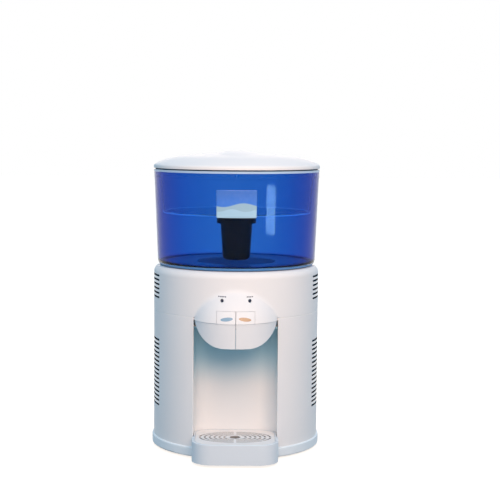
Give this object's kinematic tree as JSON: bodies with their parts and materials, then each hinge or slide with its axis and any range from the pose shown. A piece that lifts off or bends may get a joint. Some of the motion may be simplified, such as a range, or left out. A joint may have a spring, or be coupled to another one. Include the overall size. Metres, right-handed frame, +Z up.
{
  "type": "water filter dispenser",
  "caption": "Round bench-top hot and cold water filter dispenser: vented body, domed nose with press buttons, cup niche, drip tray, clear tank with hung filter, and lid with grip bar.",
  "frame": {"origin": "on the counter, under the axis of the round body, in the plane of the foot ring", "axes": "+Z up, -Y towards the front where the buttons and the cup niche are, +X to the right seen from the front"},
  "size_m": [0.2732, 0.3146, 0.4804],
  "materials": {
    "white_plastic": "smooth semi-gloss",
    "niche_plastic": "smooth semi-gloss",
    "base_plastic": "fine satin",
    "tray_plastic": "smooth semi-gloss",
    "blue_clear": "clear tinted",
    "chamber_clear": "clear tinted",
    "filter_dark": "satin",
    "cold_blue": "printed gloss",
    "hot_orange": "printed gloss",
    "light_clear": "clear dark",
    "rubber": "matt",
    "hose_rubber": "soft satin",
    "steel": "brushed",
    "aluminium": "extruded",
    "foam": "closed-cell foam",
    "board_green": "lacquered",
    "black_plastic": "fine grain",
    "inner_plastic": "moulded"
  },
  "bodies": {
    "housing": {"base_plate": "base_plastic", "foot_ring": "rubber", "base_screws": "steel", "lower_housing": "white_plastic", "niche_panel": "niche_plastic", "upper_housing": "white_plastic", "button_axle": "steel", "cold_tap_body": "inner_plastic", "hot_tap_body": "inner_plastic", "cold_spring": "steel", "hot_spring": "steel", "cold_light": "light_clear", "hot_light": "light_clear", "indicator_board": "board_green", "top_deck": "inner_plastic", "outlet_socket": "inner_plastic", "cold_tank": "steel", "foam_jacket": "foam", "cold_block": "aluminium", "cooling_module": "inner_plastic", "heat_sink": "aluminium", "fan_frame": "black_plastic", "hot_tank": "steel", "hot_tank_stand": "steel", "heater_band": "steel", "thermostats": "black_plastic", "cold_feed_hose": "hose_rubber", "hot_feed_hose": "hose_rubber", "cold_tap_hose": "hose_rubber", "hot_tap_hose": "hose_rubber", "power_board": "board_green", "rear_panel": "inner_plastic", "power_inlet": "black_plastic", "cold_switch_case": "black_plastic", "hot_switch_case": "black_plastic"},
    "cold_button": {"cold_button": "white_plastic", "cold_badge": "cold_blue"},
    "hot_button": {"hot_button": "white_plastic", "hot_badge": "hot_orange"},
    "cold_plunger": {"cold_plunger": "inner_plastic"},
    "hot_plunger": {"hot_plunger": "inner_plastic"},
    "fan_rotor": {"fan_rotor": "black_plastic"},
    "cold_switch": {"cold_switch": "black_plastic"},
    "hot_switch": {"hot_switch": "black_plastic"},
    "drip_tray": {"drip_tray": "tray_plastic"},
    "drip_grille": {"drip_grille": "tray_plastic"},
    "water_tank": {"water_tank": "blue_clear", "outlet_spigot": "inner_plastic", "spigot_seal": "rubber"},
    "raw_water_chamber": {"raw_water_chamber": "chamber_clear", "filter_gasket": "rubber", "filter_head": "filter_dark", "filter_cup": "filter_dark"},
    "filter_nut": {"filter_nut": "inner_plastic"},
    "lid": {"lid": "white_plastic"}
  },
  "joints": [
    {"name": "cold_button_press", "type": "hinge", "parent": "housing", "child": "cold_button", "pos_m": [0, -0.1, 0.232], "axis": [1, 0, 0], "range_deg": [0, 4.5], "stiffness_Nm_per_rad": 2, "springref_deg": -2.86},
    {"name": "cold_plunger_push", "type": "slide", "parent": "housing", "child": "cold_plunger", "axis": [0, 0, -1], "range_m": [0, 0.0025], "deforming": ["cold_spring"]},
    {"name": "cold_switch_rock", "type": "hinge", "parent": "housing", "child": "cold_switch", "pos_m": [-0.014, 0.1205, 0.0996], "axis": [1, 0, 0], "range_deg": [0, 16]},
    {"name": "hot_button_press", "type": "hinge", "parent": "housing", "child": "hot_button", "pos_m": [0, -0.1, 0.232], "axis": [1, 0, 0], "range_deg": [0, 4.5], "stiffness_Nm_per_rad": 2, "springref_deg": -2.86},
    {"name": "hot_plunger_push", "type": "slide", "parent": "housing", "child": "hot_plunger", "axis": [0, 0, -1], "range_m": [0, 0.0025], "deforming": ["hot_spring"]},
    {"name": "hot_switch_rock", "type": "hinge", "parent": "housing", "child": "hot_switch", "pos_m": [0.014, 0.1205, 0.0996], "axis": [1, 0, 0], "range_deg": [0, 16]},
    {"name": "fan_spin", "type": "hinge", "parent": "housing", "child": "fan_rotor", "pos_m": [-0.114, 0, 0.11], "axis": [1, 0, 0], "continuous": true},
    {"name": "tray_slide", "type": "slide", "parent": "housing", "child": "drip_tray", "axis": [0, -1, 0], "range_m": [0, 0.105]},
    {"name": "grille_lift", "type": "slide", "parent": "drip_tray", "child": "drip_grille", "axis": [0, 0, 1], "range_m": [0, 0.04]},
    {"name": "tank_lift", "type": "slide", "parent": "housing", "child": "water_tank", "axis": [0, 0, 1], "range_m": [0, 0.07]},
    {"name": "chamber_lift", "type": "slide", "parent": "water_tank", "child": "raw_water_chamber", "axis": [0, 0, 1], "range_m": [0, 0.16]},
    {"name": "filter_nut_turn", "type": "hinge", "parent": "raw_water_chamber", "child": "filter_nut", "pos_m": [0, 0, 0.387], "axis": [0, 0, 1], "range_deg": [0, 360]},
    {"name": "lid_lift", "type": "slide", "parent": "raw_water_chamber", "child": "lid", "axis": [0, 0, 1], "range_m": [0, 0.1]}
  ],
  "couplings": [
    {"joint": "cold_plunger_push", "follows": "cold_button_press", "m_per_rad": 0.0275},
    {"joint": "hot_plunger_push", "follows": "hot_button_press", "m_per_rad": 0.0275}
  ]
}
